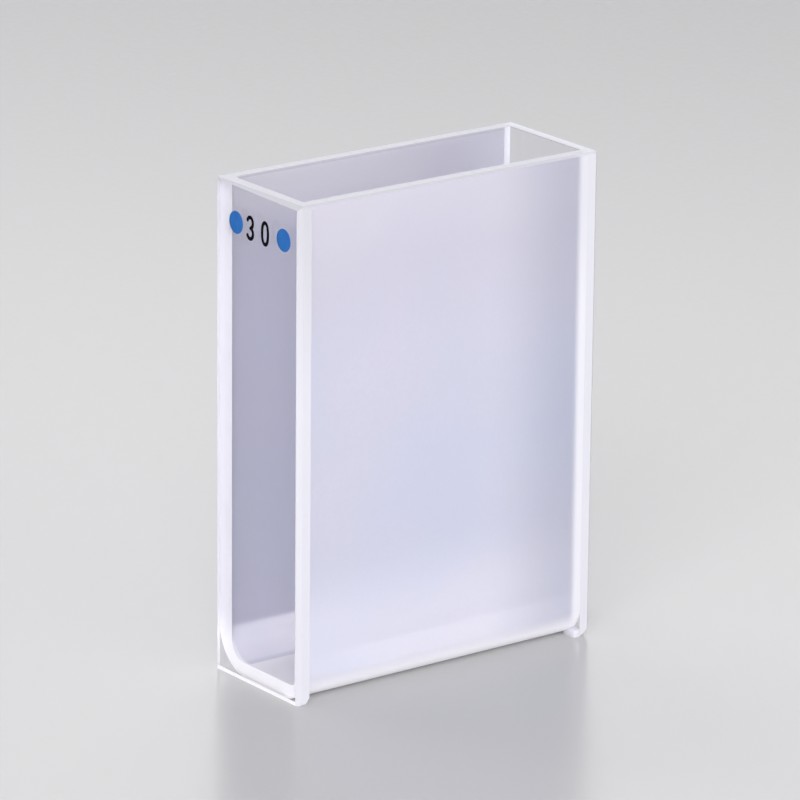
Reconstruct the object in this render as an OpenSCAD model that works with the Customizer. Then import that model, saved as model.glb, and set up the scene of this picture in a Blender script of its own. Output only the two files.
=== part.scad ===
// Open-topped rectangular quartz cuvette with a long optical path.
// One frosted strip, bent by hand to a U, makes the two wide walls and the floor. A clear, square-cornered
// window plate is fused flat onto each end of the U and closes it.
// +X runs along the optical path, +Y across the cell and +Z up. The origin is the middle of the underside.

/* [Cell] */
// Optical path, from the inner face of one window to the inner face of the other
path_length = 30; // [10:0.5:100]
// Clear width between the two wide walls
inner_width = 10; // [6:0.5:20]
// Height of the cell, from the underside to the rim
cell_height = 45; // [20:1:80]

/* [Bent channel] */
// Thickness of the strip that makes the wide walls and the floor. The tight bend drew it thinner
wall = 1.25; // [0.8:0.05:2.5]
// Inner radius of the tight bend under the front wall
front_inner_r = 0.8; // [0.6:0.05:1.2]
// Outer radius of that bend
front_outer_r = 2.65; // [2:0.05:3.2]
// Inner radius of the wider bend under the back wall
back_inner_r = 2.75; // [1.2:0.05:3.3]
// Outer radius of that bend
back_outer_r = 4; // [3:0.05:4.8]
// Bevel along the outer edge of each wide wall's rim
rim_bevel = 0.2; // [0.05:0.05:0.6]
// Radius of the fused seam that fills the inner corner between the channel and each window
seam_r = 0.25; // [0.1:0.05:0.5]

/* [Window plates] */
// Thickness of each window plate
window_thickness = 1.25; // [0.8:0.05:3]
// Bevel along the two upright edges of a window's outer face
upright_bevel = 0.4; // [0.1:0.05:0.6]
// Bevel along the top and bottom edges of a window's outer face
level_bevel = 0.3; // [0.1:0.05:0.6]
// Cut across each upper corner of a window
top_corner_cut = 0.25; // [0.1:0.05:1]
// Cut across each lower corner of a window, where it stands clear of the bend
foot_corner_cut = 0.35; // [0.1:0.05:1.5]

/* [Hidden] */
$fn = 96;
outer_width = inner_width + 2 * wall;
// How far the cavity's cutter runs past the rim
rim_overrun = 1;
frosted_quartz = [0.86, 0.86, 0.92];
clear_quartz = [0.72, 0.73, 0.79];

// Stands a drawing of the cell's cross-section up, Y to the right and Z up, and draws it out
// along X by length, half to each side.
module along_path(length) {
    translate([-length / 2, 0, 0])
        rotate([90, 0, 90])
            linear_extrude(length)
                children();
}

// Stands a drawing of the cell's long section up, X to the right and Z up, and draws it out
// along Y by width, half to each side.
module across_cell(width) {
    translate([0, width / 2, 0])
        rotate([90, 0, 0])
            linear_extrude(width)
                children();
}

// An upright rectangle on the base line, with its two lower corners rounded and its two upper ones cut.
module u_outline(width, height, left_r, right_r, upper_cut = 0) {
    difference() {
        union() {
            translate([left_r - width / 2, 0])
                square([width - left_r - right_r, height]);
            rounded_side(width / 2, height, right_r);
            mirror([1, 0])
                rounded_side(width / 2, height, left_r);
        }
        if (upper_cut > 0)
            for (side = [-1, 1])
                polygon([
                    [side * (width / 2 - upper_cut), height],
                    [side * width / 2, height - upper_cut],
                    [side * (width / 2 + upper_cut), height + upper_cut]
                ]);
    }
}

// The right side of such an outline: its lower corner, and all that stands above it.
module rounded_side(reach, height, corner_r) {
    translate([reach - corner_r, corner_r]) {
        circle(corner_r);
        square([corner_r, height - corner_r]);
    }
}

// The clear space in the cell. Its edges against both windows are rounded, all the way down one wall,
// round the bends and across the floor, and leave the fused seam as a cove.
module cavity() {
    // over the flat of the floor, which runs from bend to bend
    translate([0, (front_inner_r - back_inner_r) / 2, wall])
        across_cell(inner_width - front_inner_r - back_inner_r)
            u_outline(path_length, cell_height - wall + rim_overrun, seam_r, seam_r);
    cavity_side(back_inner_r);
    mirror([0, 1, 0])
        cavity_side(front_inner_r);
}

// The rounded space in one bend, and the upright space along the wall above it, on the +Y side.
module cavity_side(bend_r) {
    translate([0, inner_width / 2 - bend_r, wall + bend_r]) {
        rotate([0, 90, 0])
            rotate_extrude()
                seamed_half(bend_r);
        linear_extrude(cell_height - wall - bend_r + rim_overrun)
            rotate(90)
                seamed_half(bend_r);
    }
}

// Half of a rectangle with rounded corners, from its middle line to the right, as long as the path.
module seamed_half(reach) {
    intersection() {
        seamed_rectangle(2 * reach, path_length);
        translate([0, -path_length / 2])
            square([reach, path_length]);
    }
}

// A rectangle with its corners rounded to the radius of the fused seam.
module seamed_rectangle(length, width) {
    square([length - 2 * seam_r, width], center = true);
    square([length, width - 2 * seam_r], center = true);
    for (end = [-1, 1], side = [-1, 1])
        translate([end * (length / 2 - seam_r), side * (width / 2 - seam_r)])
            circle(seam_r);
}

// The frosted U: two wide walls and the floor, bent from one strip.
module channel() {
    color(frosted_quartz)
        difference() {
            along_path(path_length)
                u_outline(outer_width, cell_height, front_outer_r, back_outer_r, rim_bevel);
            cavity();
        }
}

// A window's outline across the cell, with all four corners cut.
module window_outline() {
    half = outer_width / 2;
    polygon([
        [-half + foot_corner_cut, 0],
        [half - foot_corner_cut, 0],
        [half, foot_corner_cut],
        [half, cell_height - top_corner_cut],
        [half - top_corner_cut, cell_height],
        [-half + top_corner_cut, cell_height],
        [-half, cell_height - top_corner_cut],
        [-half, foot_corner_cut]
    ]);
}

// A plate's thickness from the plane of the seam out, against its extent from low to high, with
// both edges of the outer face bevelled.
module bevelled_section(low, high, bevel) {
    polygon([
        [0, low],
        [0, high],
        [window_thickness - bevel, high],
        [window_thickness, high - bevel],
        [window_thickness, low + bevel],
        [window_thickness - bevel, low]
    ]);
}

// One window plate on the +X end of the channel.
module window_plate() {
    color(clear_quartz)
        translate([path_length / 2, 0, 0])
            intersection() {
                along_path(2 * window_thickness)
                    window_outline();
                linear_extrude(cell_height)
                    bevelled_section(-outer_width / 2, outer_width / 2, upright_bevel);
                across_cell(outer_width)
                    bevelled_section(0, cell_height, level_bevel);
            }
}

// The window on the -X end, whose outer face carries the printed marks.
module marked_window() {
    mirror([1, 0, 0])
        window_plate();
}

module plain_window() {
    window_plate();
}

channel();
marked_window();
plain_window();
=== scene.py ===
"""A rectangular quartz cuvette of 30 mm path, with its look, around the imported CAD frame.

It has three pieces, as the real cell has: a frosted channel bent to a U, and a clear window plate
fused on each end. The print on one window is thin layers of ink: two dots and two plain digits.
The print, and the small lip at the other window's foot, are in this visual model only.
"""

import math
from typing import NamedTuple

import bmesh
import bpy
from mathutils import Matrix, Vector


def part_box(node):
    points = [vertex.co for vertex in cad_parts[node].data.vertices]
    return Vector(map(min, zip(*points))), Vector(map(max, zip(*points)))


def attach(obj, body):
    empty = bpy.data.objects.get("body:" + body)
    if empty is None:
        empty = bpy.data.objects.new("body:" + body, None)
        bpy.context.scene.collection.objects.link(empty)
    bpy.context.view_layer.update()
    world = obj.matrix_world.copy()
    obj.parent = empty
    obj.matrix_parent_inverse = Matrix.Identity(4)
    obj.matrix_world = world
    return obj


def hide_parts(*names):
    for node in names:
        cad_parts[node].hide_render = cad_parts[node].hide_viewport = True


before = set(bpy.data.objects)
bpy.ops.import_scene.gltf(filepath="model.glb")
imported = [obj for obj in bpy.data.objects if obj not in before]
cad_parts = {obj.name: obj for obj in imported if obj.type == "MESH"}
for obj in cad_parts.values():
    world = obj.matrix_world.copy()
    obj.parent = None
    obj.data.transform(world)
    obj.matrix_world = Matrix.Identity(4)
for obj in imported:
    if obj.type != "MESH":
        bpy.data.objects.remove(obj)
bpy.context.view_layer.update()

MM = 0.001

# ---------------------------------------------------------------- sizes, in millimetres
channel_box = [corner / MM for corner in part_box("channel")]
window_box = [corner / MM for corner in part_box("plain_window")]
HALF_PATH = channel_box[1].x
HALF_WIDTH = channel_box[1].y
RIM_Z = channel_box[1].z
PLATE = window_box[1].x - window_box[0].x
WALL = PLATE  # the channel's walls are as thick as the windows
HALF_INNER = HALF_WIDTH - WALL
FRONT_INNER_R, FRONT_OUTER_R = 0.8, 2.65
BACK_INNER_R, BACK_OUTER_R = 2.75, 4.0
RIM_BEVEL = 0.2  # on the outside of the channel's rim
RIM_SOFT = 0.06  # on its inside
UPRIGHT_BEVEL = 0.4  # on the windows' outer upright edges
TOP_CORNER_CUT = 0.2  # on the windows' corners, at the rim
FOOT_CORNER_CUT = 0.12  # and at the foot


class Seam(NamedTuple):
    """The fused seam at one end of the channel."""

    front: float  # its reach out from the front wall
    back: float  # from the back wall
    floor: float  # from the floor
    front_r: float  # the bends' inner radii where it meets the window
    back_r: float
    length: float  # along the path


MARKED_SEAM = Seam(front=0.03, back=0.55, floor=0.13, front_r=0.6, back_r=1.95, length=0.4)
PLAIN_SEAM = Seam(front=0.03, back=0.08, floor=0.08, front_r=0.7, back_r=2.6, length=0.6)


class Bevel(NamedTuple):
    """The bevel along a level edge of a window."""

    front: float  # its height at the front end
    back: float  # and at the back end
    slope: float  # its depth into the plate for each millimetre of height


# the lip under the front bend: its size, and its places along Y
LIP_WIDE, LIP_HIGH = 0.6, 0.7
LIP_START = -HALF_WIDTH + 0.03
LIP_TAPER_FROM = -5.0
LIP_TAPER_TO = -3.9
LIP_LOSS = 0.8  # the share of its size that it loses along the taper
LIP_OVERLAP = 0.1  # how far it reaches into the window
# how its rounded end grows: distance from the start, and share of the full size
LIP_GROWTH = [(0, 0.66), (0.02, 0.78), (0.06, 0.87), (0.13, 0.94), (0.22, 0.98), (0.34, 1.0)]
# its section: share of the width, from its free edge into the window, and share of the height
LIP_SECTION = [(0, 0), (0, 0.35), (0.06, 0.62), (0.2, 0.85), (0.42, 0.97), (0.7, 1), (1, 1.08), (1, 0)]

INK = 0.014
# a strip of ink: share of its thickness, and share of its width from left to right
INK_SECTION = [(0, 0), (0.7, 0), (1, 0.12), (1, 0.5), (1, 0.88), (0.7, 1), (0, 1)]
DOT_R = 1.01
DOT_Z = 41.57
LEFT_DOT_Y, RIGHT_DOT_Y = 3.03, -3.93
STROKE = 0.34
DIGIT_Z = 41.52
DIGIT_HALF = 0.95  # half a digit's height, along the middle of its stroke
THREE_Y, ZERO_Y = 0.97, -1.22

# ---------------------------------------------------------------- steps and tolerances
ARC_STEPS = 28
SEAM_STEPS = 9
TAPER_STEPS = 8
BOWL_STEPS = 30
ZERO_STEPS = 64
DOT_STEPS = 40
END_STEPS = 6
MIDDLE_STATIONS = range(12, -13, -3)  # in X, along the channel between the seams
SUPPORT = 0.3  # from a bend's end to the point beside it
JOINT_GAP = 0.003  # between channel and window, so that no two faces coincide
SHORT_EDGE = 0.004  # shorter edges of a window are dissolved
MERGE = 1e-5
ON_PLANE = 1e-4

# material slots on the glass meshes. The windows have no INSIDE
FACE, GROUND, SEAM, RIM, INSIDE = range(5)


# ---------------------------------------------------------------- materials
QUARTZ_IOR = 1.46


class Nodes:
    """A material's node tree, with short calls to add nodes. Colours are (red, green, blue)."""

    def __init__(self, name):
        self.material = bpy.data.materials.new(name)
        self.material.use_nodes = True
        self.tree = self.material.node_tree
        self.tree.nodes.clear()
        self.out = self.add("ShaderNodeOutputMaterial", {})
        self.place = self.add("ShaderNodeTexCoord", {}).outputs["Object"]

    def add(self, kind, inputs, **settings):
        """A new node. Its inputs, by name or number, are given as values or as sockets to link."""
        node = self.tree.nodes.new(kind)
        for key, value in settings.items():
            setattr(node, key, value)
        for key, value in inputs.items():
            socket = node.inputs[key]
            if isinstance(value, bpy.types.NodeSocket):
                self.tree.links.new(value, socket)
            elif socket.type == "RGBA":
                socket.default_value = (*value, 1)
            else:
                socket.default_value = value
        return node

    def noise(self, scale, detail=2.0, roughness=0.5, stretch=None):
        """Noise of about 1/scale metres, with its places scaled along the axes by stretch."""
        at = self.place
        if stretch:
            at = self.add("ShaderNodeMapping", {"Vector": at, "Scale": stretch}).outputs["Vector"]
        inputs = {"Vector": at, "Scale": scale, "Detail": detail, "Roughness": roughness}
        return self.add("ShaderNodeTexNoise", inputs).outputs["Fac"]

    def ranged(self, source, low, high, start=0.3, end=0.7):
        """low to high as source goes from start to end. Most of a noise is between 0.3 and 0.7."""
        inputs = {"Value": source, "From Min": start, "From Max": end, "To Min": low, "To Max": high}
        return self.add("ShaderNodeMapRange", inputs).outputs["Result"]

    def graded(self, source, low, high):
        """low to high as source goes from 0 to 1."""
        return self.ranged(source, low, high, 0, 1)

    def along(self, axis, low, high):
        """0 to 1 as the place along an axis goes from low to high, in millimetres, with a soft
        start and end."""
        split = self.add("ShaderNodeSeparateXYZ", {0: self.place})
        inputs = {"Value": split.outputs[axis], "From Min": low * MM, "From Max": high * MM}
        node = self.add("ShaderNodeMapRange", inputs, interpolation_type="SMOOTHSTEP")
        return node.outputs["Result"]

    def blended(self, factor, first, second):
        """A colour from first to second as factor goes from 0 to 1."""
        inputs = {0: factor, 6: first, 7: second}
        return self.add("ShaderNodeMix", inputs, data_type="RGBA").outputs[2]

    def layered(self, tone, *layers):
        """The tone under layers, from the lowest up. Each is how much of it shows, and its colour."""
        for factor, colour in layers:
            tone = self.blended(factor, tone, colour)
        return tone

    def summed(self, first, second, share):
        """first + second * share."""
        inputs = {0: second, 1: share, 2: first}
        return self.add("ShaderNodeMath", inputs, operation="MULTIPLY_ADD").outputs[0]

    def larger(self, first, second):
        return self.add("ShaderNodeMath", {0: first, 1: second}, operation="MAXIMUM").outputs[0]

    def smaller(self, first, second):
        return self.add("ShaderNodeMath", {0: first, 1: second}, operation="MINIMUM").outputs[0]

    def bump(self, height, strength, depth=0.02):
        """A normal from a height that goes from 0 to 1 over a depth in millimetres."""
        inputs = {"Height": height, "Strength": strength, "Distance": depth * MM}
        return self.add("ShaderNodeBump", inputs).outputs["Normal"]

    def principled(self, **inputs):
        """A Principled shader. Its inputs' names are given with _ for each space."""
        named = {key.replace("_", " "): value for key, value in inputs.items()}
        return self.add("ShaderNodeBsdfPrincipled", named).outputs["BSDF"]

    def done(self, shader, passing=0):
        """The finished material. passing is the share of a lamp's rays that crosses it straight."""
        if passing:
            clear = self.add("ShaderNodeBsdfTransparent", {"Color": (passing, passing, passing)})
            to_lamp = self.add("ShaderNodeLightPath", {}).outputs["Is Shadow Ray"]
            mix = self.add("ShaderNodeMixShader", {0: to_lamp, 1: shader, 2: clear.outputs[0]})
            shader = mix.outputs[0]
        self.tree.links.new(shader, self.out.inputs["Surface"])
        return self.material


def satin_quartz(n, tone, cloud, fine, normal, transmission):
    """The finished material of a face that scatters the light."""
    shader = n.principled(
        Base_Color=tone,
        Roughness=n.ranged(n.summed(cloud, fine, 0.5), 0.32, 0.42, 0.5, 1.0),
        Normal=normal,
        IOR=QUARTZ_IOR,
        Specular_IOR_Level=0.35,
        Transmission_Weight=transmission,
    )
    return n.done(shader, passing=0.35)


def frosted_quartz():
    """The ground outer faces. They are greyer towards the plain window, as painted shade, and denser
    and whiter at the foot and where that window is fused on; that whiteness is painted light, a
    painted glow. They are also darker high on the walls, as painted shade, and paler low on them,
    as painted light."""
    n = Nodes("frosted_quartz")
    cloud = n.noise(70, roughness=0.45)
    fine = n.noise(2600, 3.0, 0.6)
    grain = n.noise(11000)
    # painted shade high on the walls
    upper = n.along("Z", 28, 41)
    # painted light low on the walls, which are also denser there
    lower = n.along("Z", 14, 6)
    # painted light at the foot, which is also denser there
    foot = n.along("Z", 2.7, 0.9)
    # painted light along the very bottom
    painted_light_sole = n.along("Z", 0.7, 0.1)
    # painted shade towards the plain window, for the dark seen through the wall
    painted_shade_far_end = n.along("X", 3.5, 13.5)
    # a painted glow where the plain window is fused on, which is also denser there
    fused = n.along("X", 13.6, 14.5)
    # the painted glow's tone, dimmer towards the rim
    painted_glow_tone = n.blended(n.along("Z", 30, 42), (0.695, 0.69, 0.745), (0.635, 0.63, 0.685))
    # over the random cloud and specks lie painted shade high up and towards the plain window, and
    # painted light low down, at the foot, along the bottom and at the plain window's seam
    tone = n.layered(
        n.blended(n.ranged(cloud, 0, 1, 0.35, 0.6), (0.68, 0.70, 0.83), (0.72, 0.705, 0.805)),
        (n.ranged(fine, 0, 0.35), (0.645, 0.65, 0.75)),
        (n.graded(upper, 0, 0.6), (0.655, 0.625, 0.685)),
        (n.graded(lower, 0, 0.3), (0.81, 0.80, 0.865)),
        (n.graded(painted_shade_far_end, 0, 0.42), (0.235, 0.265, 0.37)),
        (fused, painted_glow_tone),
        (foot, (0.885, 0.87, 0.92)),
        (painted_light_sole, (1.0, 0.985, 1.0)),
    )
    dense = n.larger(n.larger(n.graded(lower, 0, 0.25), foot), fused)
    normal = n.bump(n.summed(grain, fine, 0.7), 0.35)
    return satin_quartz(n, tone, cloud, fine, normal, n.graded(dense, 0.43, 0.02))


def inner_quartz():
    """The faces round the sample, coloured with painted light and shade. The bends and the floor are
    paler than the walls, as painted light, with a darker line between the back bend and the floor,
    as painted shade, and another just under the rim, a painted shadow. Away from the marked window
    the walls, the bends and the line are paler, as painted light. The walls' tops are palest
    beside it, as painted light."""
    n = Nodes("inner_quartz")
    cloud = n.noise(90, roughness=0.45)
    fine = n.noise(2600, 3.0, 0.6)
    # painted light on the walls away from the marked window
    away = n.along("X", -13.5, -5.5)
    # painted light on the bends and the line away from the marked window
    painted_light_further = n.along("X", -12.5, -7.5)
    # painted light on the walls' tops beside the marked window
    top = n.smaller(n.along("Z", 38, 43.5), n.along("X", 34, -10))
    # painted light on the bends
    bend = n.along("Z", 4.3, 3.7)
    # painted shade on the line between the back bend and the floor
    line = n.smaller(n.along("Z", 1.8, 1.5), n.along("Y", 3.1, 2.6))
    # painted light on the floor
    floor = n.smaller(n.along("Z", 1.8, 1.5), n.along("Y", 2.25, 2.15))
    # a painted shadow just under the rim
    painted_shadow_under_rim = n.along("Z", 44.73, 44.79)
    tone = n.layered(
        n.blended(n.ranged(cloud, 0, 1), (0.638, 0.638, 0.765), (0.652, 0.638, 0.75)),
        (n.ranged(fine, 0, 0.35), (0.585, 0.585, 0.697)),
        (n.graded(away, 0, 0.3), (0.745, 0.74, 0.855)),
        (n.graded(top, 0, 0.8), (0.86, 0.84, 0.895)),
        (bend, n.blended(painted_light_further, (0.83, 0.815, 0.905), (0.96, 0.94, 1.0))),
        (line, n.blended(painted_light_further, (0.70, 0.69, 0.79), (0.77, 0.755, 0.85))),
        (floor, (0.99, 0.975, 1.0)),
        (painted_shadow_under_rim, (0.65, 0.635, 0.69)),
    )
    return satin_quartz(n, tone, cloud, fine, n.bump(fine, 0.2), n.graded(bend, 0.5, 0.2))


def fused_quartz():
    """The fused seams, whiter than the ground faces, most of all at the foot, where that extra
    whiteness is painted light.
    """
    n = Nodes("fused_seam")
    cloud = n.noise(220)
    fine = n.noise(3600, 3.0, 0.6)
    tone = n.layered(
        n.blended(n.ranged(cloud, 0, 1), (0.785, 0.775, 0.825), (0.77, 0.76, 0.815)),
        # painted light towards the foot
        (n.along("Z", 6, 1.5), (0.985, 0.965, 1.0)),
    )
    shader = n.principled(
        Base_Color=tone,
        Roughness=n.ranged(fine, 0.38, 0.52),
        Normal=n.bump(fine, 0.25),
        IOR=QUARTZ_IOR,
    )
    return n.done(shader)


def scaled(colour, share):
    """The colour, darker or paler by a share."""
    return tuple(share * value for value in colour)


def ground_quartz(name, share, upper, ramp):
    """The ground edges, with their colour scaled by share and, towards the rim, by upper too; both
    scales are painted light and shade, set for how the lamps fall. There they are paler at the
    plain end, over a ramp in X, as painted light."""
    n = Nodes(name)
    cloud = n.noise(160)
    fine = n.noise(3200, 3.0, 0.6)
    grain = n.noise(14000)
    pale = scaled((0.725, 0.72, 0.785), share)
    patch = scaled((0.71, 0.705, 0.77), share)
    speck = scaled((0.69, 0.69, 0.755), share)
    # painted light at the plain end and painted shade or light towards the rim
    painted_light_plain_end = 1.13
    painted_shading_near_rim = n.blended(n.along("X", *ramp), scaled(pale, upper), scaled(pale, upper * painted_light_plain_end))
    tone = n.layered(
        n.blended(n.ranged(cloud, 0, 1), pale, patch),
        (n.ranged(fine, 0, 0.3, 0.5, 0.75), speck),
        (n.along("Z", 26, 46), painted_shading_near_rim),
    )
    shader = n.principled(
        Base_Color=tone,
        Roughness=n.ranged(fine, 0.42, 0.58),
        Normal=n.bump(n.summed(grain, fine, 0.8), 0.4),
        IOR=QUARTZ_IOR,
        Specular_IOR_Level=0.4,
    )
    return n.done(shader, passing=0.6)


def clear_quartz():
    """Polished quartz. Most of a lamp's rays pass it straight, and so reach what is behind."""
    n = Nodes("clear_quartz")
    smear = n.noise(140, 3.0, 0.55, stretch=(1, 1, 0.35))
    shader = n.principled(
        Base_Color=(0.93, 0.93, 0.955),
        Roughness=n.ranged(smear, 0.0, 0.035, 0.45, 0.8),
        IOR=QUARTZ_IOR,
        Transmission_Weight=1.0,
    )
    return n.done(shader, passing=0.88)


def printed_ink(name, colour, patch):
    """Matt ink, with patches of a second colour."""
    n = Nodes(name)
    cloud = n.noise(1500)
    grain = n.noise(9000)
    shader = n.principled(
        Base_Color=n.blended(n.ranged(cloud, 0, 1), colour, patch),
        Roughness=n.ranged(grain, 0.6, 0.75),
        Normal=n.bump(grain, 0.3, 0.01),
        IOR=1.5,
        Specular_IOR_Level=0.04,
    )
    return n.done(shader)


def floor_material():
    """The plain pale floor, smooth enough for a soft mirror image."""
    n = Nodes("studio_floor")
    cloud = n.noise(3)
    fine = n.noise(900, 3.0, 0.6)
    shader = n.principled(
        Base_Color=n.blended(n.ranged(cloud, 0, 1), (0.515, 0.515, 0.52), (0.535, 0.535, 0.54)),
        Roughness=n.ranged(fine, 0.2, 0.26),
        IOR=1.45,
    )
    return n.done(shader)


frosted = frosted_quartz()
inner_faces = inner_quartz()
fused_seam = fused_quartz()
# the two copies of the ground finish differ in tone as painted light and shade, set for how the lamps
# fall where each is used
ground = ground_quartz("ground_quartz", 0.87, 0.85, (13.0, 14.6))
ground_rim = ground_quartz("rim_quartz", 1.0, 0.97, (14.5, 15.6))
clear = clear_quartz()
blue = printed_ink("blue_ink", (0.031, 0.152, 0.455), (0.026, 0.132, 0.415))
black = printed_ink("black_ink", (0.002, 0.002, 0.003), (0.004, 0.004, 0.005))


# ---------------------------------------------------------------- meshes
def to_object(bm, name, materials):
    """The mesh, given in millimetres, as an object that rides on the part's one body."""
    bmesh.ops.remove_doubles(bm, verts=bm.verts, dist=MERGE)
    bmesh.ops.recalc_face_normals(bm, faces=bm.faces)
    bm.transform(Matrix.Scale(MM, 4))
    mesh = bpy.data.meshes.new(name)
    bm.to_mesh(mesh)
    bm.free()
    for material in materials:
        mesh.materials.append(material)
    piece = bpy.data.objects.new(name, mesh)
    bpy.context.scene.collection.objects.link(piece)
    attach(piece, "root")
    return piece


def loft(bm, rings, closed=False):
    """Skins rings of vertices with smooth faces, from each to the next and, when closed, from the
    last to the first. Gives each face with its row and its place round the ring."""
    rows = list(zip(rings, rings[1:]))
    if closed:
        rows.append((rings[-1], rings[0]))
    faces = []
    for row, (a, b) in enumerate(rows):
        for i in range(len(a)):
            j = (i + 1) % len(a)
            face = bm.faces.new((a[i], a[j], b[j], b[i]))
            face.smooth = True
            faces.append((row, i, face))
    return faces


def mark_rim(bm):
    """Gives the faces that lie at the rim their material."""
    for face in bm.faces:
        if min(v.co.z for v in face.verts) > RIM_Z - ON_PLANE:
            face.material_index = RIM


def turns(start, end, steps):
    """Angles from start to end, both included and given in degrees, in radians."""
    return [math.radians(start + (end - start) * i / steps) for i in range(steps + 1)]


def arc(y, z, radius, start, end):
    """Points in (y, z) on an arc. Angles are in degrees, anticlockwise from +Y."""
    return [
        (y + radius * math.cos(turn), z + radius * math.sin(turn))
        for turn in turns(start, end, ARC_STEPS)
    ]


def u_path(front_reach, back_reach, floor_z, front_r, back_r, top):
    """A U's line in (y, z) from the front rim to the back rim, with a support point beside each end
    of the two bends."""
    front = arc(front_r - front_reach, floor_z + front_r, front_r, 180, 270)
    back = arc(back_reach - back_r, floor_z + back_r, back_r, 270, 360)
    return [
        (-front_reach, top),
        (-front_reach, front[0][1] + SUPPORT),
        *front,
        (front[-1][0] + SUPPORT, front[-1][1]),
        (back[0][0] - SUPPORT, back[0][1]),
        *back,
        (back_reach, back[-1][1] + SUPPORT),
        (back_reach, top),
    ]


def outer_path(top):
    """The line of the channel's outside."""
    return u_path(HALF_WIDTH, HALF_WIDTH, 0, FRONT_OUTER_R, BACK_OUTER_R, top)


def inner_path(seam, share, top):
    """The line of the cavity's side. share is 1 where the seam meets the window and 0 past it."""
    return u_path(
        HALF_INNER - seam.front * share,
        HALF_INNER - seam.back * share,
        WALL + seam.floor * share,
        FRONT_INNER_R + (seam.front_r - FRONT_INNER_R) * share,
        BACK_INNER_R + (seam.back_r - BACK_INNER_R) * share,
        top,
    )


def seam_stations(seam):
    """Places in X from the channel's end to where its seam runs out, each with the seam's share."""
    stations = [
        (HALF_PATH - seam.length * (1 - math.cos(turn)), 1 - math.sin(turn))
        for turn in turns(0, 90, SEAM_STEPS)
    ]
    stations[0] = (HALF_PATH - JOINT_GAP, 1)
    return stations


def channel_section(inner, outer):
    """The channel's outline: its inner line, the back rim, its outer line and the front rim."""
    edge = HALF_WIDTH - RIM_BEVEL
    return [
        *inner,
        (inner[-1][0] + RIM_SOFT, RIM_Z),
        (edge, RIM_Z),
        *outer[::-1],
        (-edge, RIM_Z),
        (inner[0][0] - RIM_SOFT, RIM_Z),
    ]


def make_channel():
    """The frosted U as one closed loft along X. Coves fill its inner corners at both ends."""
    stations = [(x, PLAIN_SEAM, share) for x, share in seam_stations(PLAIN_SEAM)]
    stations += [(x, PLAIN_SEAM, 0) for x in MIDDLE_STATIONS]
    stations += [(-x, MARKED_SEAM, share) for x, share in reversed(seam_stations(MARKED_SEAM))]
    outer = outer_path(RIM_Z - RIM_BEVEL)
    count = len(outer)
    outside = range(count + 2, 2 * count + 1)
    bm = bmesh.new()
    rings = []
    for x, seam, share in stations:
        section = channel_section(inner_path(seam, share, RIM_Z - RIM_SOFT), outer)
        rings.append([bm.verts.new((x, y, z)) for y, z in section])

    def slot(row, i):
        """The material slot of the face after station row and point i."""
        if i in outside:
            return FACE
        if i >= count - 1:
            return GROUND
        if i > ARC_STEPS + 2:  # past the front bend, where the seams show
            if row < SEAM_STEPS:
                return RIM
            if row >= len(stations) - 1 - SEAM_STEPS:
                return SEAM
        return INSIDE

    for row, i, face in loft(bm, rings):
        face.material_index = slot(row, i)
    # the ends, from the line near the cavity to the one far from it
    for ring in (rings[0], rings[-1]):
        near = ring[:count]
        far = ring[count + 2 : 2 * count + 2][::-1]
        caps = [(near[i], near[i + 1], far[i + 1], far[i]) for i in range(count - 1)]
        caps.append((near[-1], ring[count], ring[count + 1], far[-1]))
        caps.append((near[0], far[0], *ring[-2:]))
        for corners in caps:
            bm.faces.new(corners).material_index = SEAM
    mark_rim(bm)
    looks = [frosted, ground, fused_seam, ground_rim, inner_faces]
    piece = to_object(bm, "frosted_channel", looks)
    piece.data.set_sharp_from_angle(angle=math.radians(20))
    return piece


def on_window(side, out, y, z):
    """A place on the window at the side -1 or 1, out from the channel's end."""
    return Vector((side * (HALF_PATH + out), y, z))


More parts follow.
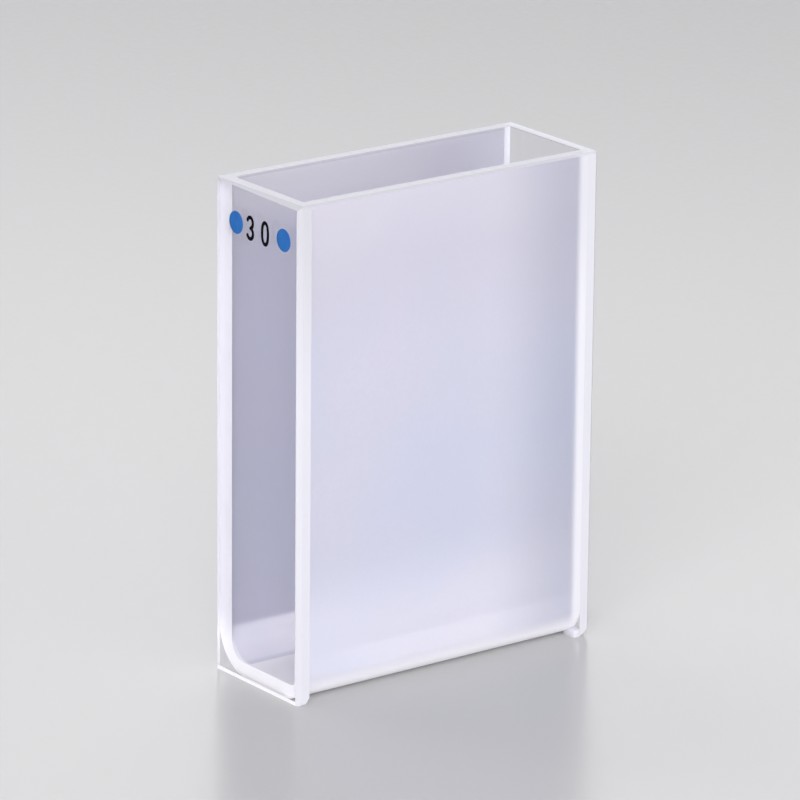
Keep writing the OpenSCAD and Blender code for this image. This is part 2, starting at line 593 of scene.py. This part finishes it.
def add_plate(bm, side):
    """A closed plate with its four corners cut and its edges square. Its face against the channel
    is divided where the channel is fused to it."""

    def row(points):
        return [bm.verts.new(on_window(side, 0, y, z)) for y, z in points]

    def face(corners, slot):
        bm.faces.new(corners).material_index = slot

    cut, foot = TOP_CORNER_CUT, FOOT_CORNER_CUT
    inner = row(inner_path(MARKED_SEAM if side < 0 else PLAIN_SEAM, 1, RIM_Z))
    outer = row(outer_path(RIM_Z)[1:-1])
    top_front = row([(-HALF_WIDTH + cut, RIM_Z), (-HALF_WIDTH, RIM_Z - cut)])
    top_back = row([(HALF_WIDTH, RIM_Z - cut), (HALF_WIDTH - cut, RIM_Z)])
    foot_front = row([(-HALF_WIDTH, foot), (-HALF_WIDTH + foot, 0)])
    foot_back = row([(HALF_WIDTH - foot, 0), (HALF_WIDTH, foot)])

    # the fused band, the clear space inside it and the clear corners below the bends
    face([inner[0], *top_front, outer[0], inner[1]], SEAM)
    for i in range(len(outer) - 1):
        face([inner[i + 1], outer[i], outer[i + 1], inner[i + 2]], SEAM)
    face([inner[-2], outer[-1], *top_back, inner[-1]], SEAM)
    face(inner[::-1], FACE)
    front_arc = outer[1 : ARC_STEPS + 2]
    back_arc = outer[-ARC_STEPS - 2 : -1]
    for points, near_wall, near_floor in (
        (front_arc, foot_front[0], foot_front[1]),
        (back_arc[::-1], foot_back[1], foot_back[0]),
    ):
        half = len(points) // 2
        for i in range(len(points) - 1):
            face([near_wall if i < half else near_floor, points[i], points[i + 1]], FACE)
        face([near_wall, points[half], near_floor], FACE)

    # the plate's edges, from the opening's front corner down and round to its back corner
    rim = [inner[0], *top_front, outer[0], front_arc[0], *foot_front, front_arc[-1]]
    rim += outer[ARC_STEPS + 2 : -ARC_STEPS - 2]
    rim += [back_arc[0], *foot_back, back_arc[-1], outer[-1], *top_back, inner[-1]]
    away = [bm.verts.new(on_window(side, PLATE, v.co.y, v.co.z)) for v in rim]
    for i in range(len(rim)):
        j = (i + 1) % len(rim)
        at_back = min(rim[i].co.y, rim[j].co.y) > HALF_WIDTH - ON_PLANE
        face([rim[i], away[i], away[j], rim[j]], SEAM if at_back else GROUND)
    face(away, FACE)


def cut_off(bm, side, plane, slot):
    """Cuts off what is outside a plane through three places on the window, given as (out, y, z),
    and closes the cut."""
    a, b, c = [on_window(side, *place) for place in plane]
    centre = on_window(side, PLATE / 2, 0, RIM_Z / 2)
    normal = (b - a).cross(c - a).normalized()
    if normal.dot(centre - a) > 0:
        normal = -normal
    bmesh.ops.bisect_plane(
        bm,
        geom=bm.verts[:] + bm.edges[:] + bm.faces[:],
        dist=1e-6,
        plane_co=a,
        plane_no=normal,
        clear_outer=True,
    )
    edges = [edge for edge in bm.edges if edge.is_boundary]
    for face in bmesh.ops.holes_fill(bm, edges=edges, sides=0)["faces"]:
        face.material_index = slot


def upright_bevel(end):
    """The plane of the bevel on the front (-1) or back (1) upright edge."""
    edge = end * HALF_WIDTH
    depth = PLATE - UPRIGHT_BEVEL
    return [(depth, edge, 0), (depth, edge, 1), (PLATE, edge - end * UPRIGHT_BEVEL, 0)]


def level_bevel(level, inward, bevel):
    """The plane of the bevel on the edge at a level. inward is 1 where the plate is above it and
    -1 where it is below."""
    return [
        (PLATE, -HALF_WIDTH, level + inward * bevel.front),
        (PLATE, HALF_WIDTH, level + inward * bevel.back),
        (PLATE - bevel.front * bevel.slope, -HALF_WIDTH, level),
    ]


def make_window(name, side, top, foot, corner):
    """A clear plate with ground edges at the side -1 or 1 of the channel, with the bevels at its
    top and foot, and the plane that cuts its front corner at the foot."""
    bm = bmesh.new()
    add_plate(bm, side)
    for end in (-1, 1):
        cut_off(bm, side, upright_bevel(end), GROUND)
    cut_off(bm, side, level_bevel(RIM_Z, -1, top), GROUND)
    cut_off(bm, side, level_bevel(0, 1, foot), SEAM)
    cut_off(bm, side, corner, GROUND)
    bmesh.ops.dissolve_degenerate(bm, dist=SHORT_EDGE, edges=bm.edges[:])
    mark_rim(bm)
    return to_object(bm, name, [clear, ground, fused_seam, ground_rim])


def make_lip():
    """A lip of fused quartz under the front bend, along the foot of the plain window."""
    sizes = [(LIP_START + distance, size) for distance, size in LIP_GROWTH]
    for i in range(TAPER_STEPS + 1):
        share = i / TAPER_STEPS
        y = LIP_TAPER_FROM + (LIP_TAPER_TO - LIP_TAPER_FROM) * share
        sizes.append((y, 1 - LIP_LOSS * share * share))
    bm = bmesh.new()
    rings = []
    for y, size in sizes:
        reach = LIP_WIDE * size + LIP_OVERLAP
        rings.append(
            [
                bm.verts.new((HALF_PATH + LIP_OVERLAP - reach * (1 - into), y, LIP_HIGH * size * up))
                for into, up in LIP_SECTION
            ]
        )
    loft(bm, rings)
    bm.faces.new(rings[0])
    bm.faces.new(rings[-1])
    piece = to_object(bm, "fused_lip", [ground])
    piece.data.set_sharp_from_angle(angle=math.radians(50))
    return piece


def printed(name, rows, material, closed=False):
    """A strip of ink on the marked window's outer face. Each row across it is its left and its
    right point in (y, z)."""
    bm = bmesh.new()
    face_x = -HALF_PATH - PLATE
    rings = []
    for left, right in rows:
        ring = []
        for up, across in INK_SECTION:
            y, z = (left[k] + (right[k] - left[k]) * across for k in (0, 1))
            ring.append(bm.verts.new((face_x - INK * up, y, z)))
        rings.append(ring)
    loft(bm, rings, closed)
    if not closed:
        for ring in (rings[0], rings[-1]):
            bm.faces.new(ring).smooth = True
    piece = to_object(bm, name, [material])


def round_end(y, z, way, across):
    """The rows of a stroke's round end at (y, z), from the stroke outwards."""
    rows = []
    for turn in turns(0, 90, END_STEPS)[1:-1]:
        push = way * math.sin(turn) * STROKE / 2
        side = across * math.cos(turn)
        left = (y + push.x + side.x, z + push.y + side.y)
        right = (y + push.x - side.x, z + push.y - side.y)
        rows.append((left, right))
    return rows


def stroke(points, closed=False):
    """The rows of a stroke along points in (y, z), with round ends when it is open."""
    rows = []
    count = len(points)
    for i, (y, z) in enumerate(points):
        first = i == 0 and not closed
        last = i == count - 1 and not closed
        before = points[i if first else (i - 1) % count]
        after = points[i if last else (i + 1) % count]
        along = Vector((after[0] - before[0], after[1] - before[1])).normalized()
        across = Vector((-along.y, along.x)) * STROKE / 2
        row = ((y + across.x, z + across.y), (y - across.x, z - across.y))
        if first:
            rows += round_end(y, z, -along, across)[::-1]
        rows.append(row)
        if last:
            rows += round_end(y, z, along, across)
    return rows


def dot(y):
    """The rows of a round dot from top to bottom. The first and last are short, not points."""
    trim = 0.35
    rows = []
    for i in range(DOT_STEPS + 1):
        turn = math.radians(180 * (i + trim) / (DOT_STEPS + 2 * trim))
        up, half = DOT_R * math.cos(turn), DOT_R * math.sin(turn)
        rows.append(((y + half, DOT_Z + up), (y - half, DOT_Z + up)))
    return rows


def bowl(y, z, half_width, half_height, start, end, steps, power=2.0):
    """Points on an ellipse or, above power 2, a squarer oval. Angles are in degrees, anticlockwise
    from the right as the face is seen, with +Y on its left."""
    points = []
    for turn in turns(start, end, steps):
        cosine, sine = math.cos(turn), math.sin(turn)
        across = math.copysign(abs(cosine) ** (2 / power), cosine)
        up = math.copysign(abs(sine) ** (2 / power), sine)
        points.append((y - half_width * across, z + half_height * up))
    return points


def digit_three():
    """The middle line of a 3: two bowls, one on the other."""
    half = DIGIT_HALF / 2
    upper = bowl(THREE_Y, DIGIT_Z + half, 0.40, half, 155, -90, BOWL_STEPS)
    lower = bowl(THREE_Y, DIGIT_Z - half, 0.42, half, 90, -155, BOWL_STEPS)
    return upper + lower[1:]


def digit_zero():
    """The middle line of a 0."""
    return bowl(ZERO_Y, DIGIT_Z, 0.43, DIGIT_HALF, 0, 360, ZERO_STEPS, 2.3)[:-1]


channel = make_channel()
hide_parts("channel")
marked = make_window(
    "clear_window_marked",
    -1,
    top=Bevel(front=0.43, back=0.14, slope=1),
    foot=Bevel(front=0.38, back=0.38, slope=0.08),
    corner=[(0.46, -HALF_WIDTH, 0), (0, -HALF_WIDTH, 0.62), (0, -HALF_WIDTH + 1.0, 0)],
)
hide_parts("marked_window")
plain = make_window(
    "clear_window_plain",
    1,
    top=Bevel(front=0.3, back=0.3, slope=1),
    foot=Bevel(front=0.3, back=0.3, slope=1),
    corner=[(0.16, -HALF_WIDTH, 0), (0.85, -HALF_WIDTH, 0.62), (0.95, -HALF_WIDTH + 1.3, 0)],
)
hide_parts("plain_window")
lip = make_lip()
printed("dot_left", dot(LEFT_DOT_Y), blue)
printed("dot_right", dot(RIGHT_DOT_Y), blue)
printed("digit_three", stroke(digit_three()), black)
printed("digit_zero", stroke(digit_zero(), closed=True), black, closed=True)


# ---------------------------------------------------------------- floor, light and camera
FLOOR_HALF = 4  # metres
CENTRE = Vector((0, 0, RIM_Z / 2))
# the camera's angles in degrees, and its distance, shifts, lens and sensor in millimetres
AZIMUTH, ELEVATION, ROLL = -37.08, 17.40, 0.549
DISTANCE = 509.2
SHIFT_RIGHT, SHIFT_UP = -0.573, 0.874
LENS = 260.18
SENSOR = 36


def make_floor():
    """The floor that the cell stands on, as wide as the camera sees."""
    half = FLOOR_HALF
    corners = [(-half, -half, 0), (half, -half, 0), (half, half, 0), (-half, half, 0)]
    mesh = bpy.data.meshes.new("studio_floor")
    mesh.from_pydata(corners, [], [(0, 1, 2, 3)])
    mesh.materials.append(floor_material())
    floor = bpy.data.objects.new("studio_floor", mesh)
    bpy.context.scene.collection.objects.link(floor)


def make_world():
    """Pale even light from all round."""
    world = bpy.data.worlds.new("studio")
    world.use_nodes = True
    background = world.node_tree.nodes["Background"]
    background.inputs["Color"].default_value = (0.98, 0.98, 1, 1)
    background.inputs["Strength"].default_value = 0.52
    bpy.context.scene.world = world


def softbox(name, place, size, power):
    """A rectangular lamp at a place and of a size in metres, aimed at the cell."""
    light = bpy.data.lights.new(name, "AREA")
    light.shape = "RECTANGLE"
    light.size, light.size_y = size
    light.energy = power
    lamp = bpy.data.objects.new(name, light)
    lamp.location = place
    aim = CENTRE * MM - Vector(place)
    lamp.rotation_euler = aim.to_track_quat("-Z", "Y").to_euler()
    bpy.context.scene.collection.objects.link(lamp)


def make_camera():
    """The camera, at the photo's viewing angle."""
    azimuth, elevation, roll = (math.radians(angle) for angle in (AZIMUTH, ELEVATION, ROLL))
    back = Vector(
        (
            math.sin(azimuth) * math.cos(elevation),
            -math.cos(azimuth) * math.cos(elevation),
            math.sin(elevation),
        )
    )
    level = Vector((math.cos(azimuth), math.sin(azimuth), 0))
    upward = back.cross(level)
    right = level * math.cos(roll) + upward * math.sin(roll)
    up = upward * math.cos(roll) - level * math.sin(roll)
    place = (CENTRE + back * DISTANCE + right * SHIFT_RIGHT + up * SHIFT_UP) * MM
    data = bpy.data.cameras.new("camera")
    data.sensor_width = SENSOR
    data.lens = LENS
    data.clip_end = 50
    camera = bpy.data.objects.new("camera", data)
    turned = Matrix((right, up, back)).transposed().to_4x4()
    camera.matrix_world = Matrix.Translation(place) @ turned
    bpy.context.scene.collection.objects.link(camera)
    bpy.context.scene.camera = camera


make_floor()
make_world()
softbox("key", (-0.48, -0.42, 0.34), (0.5, 0.5), 3.2)
softbox("fill", (0.12, -0.6, 0.045), (0.6, 0.08), 2.0)
softbox("left", (-0.62, -0.12, 0.045), (0.4, 0.08), 0.5)
softbox("rim", (-0.1, 0.6, 0.6), (0.5, 0.5), 1.5)
softbox("back", (0.6, 0.6, 0.45), (0.6, 0.5), 1.5)
make_camera()
bpy.context.scene.view_settings.view_transform = "Standard"
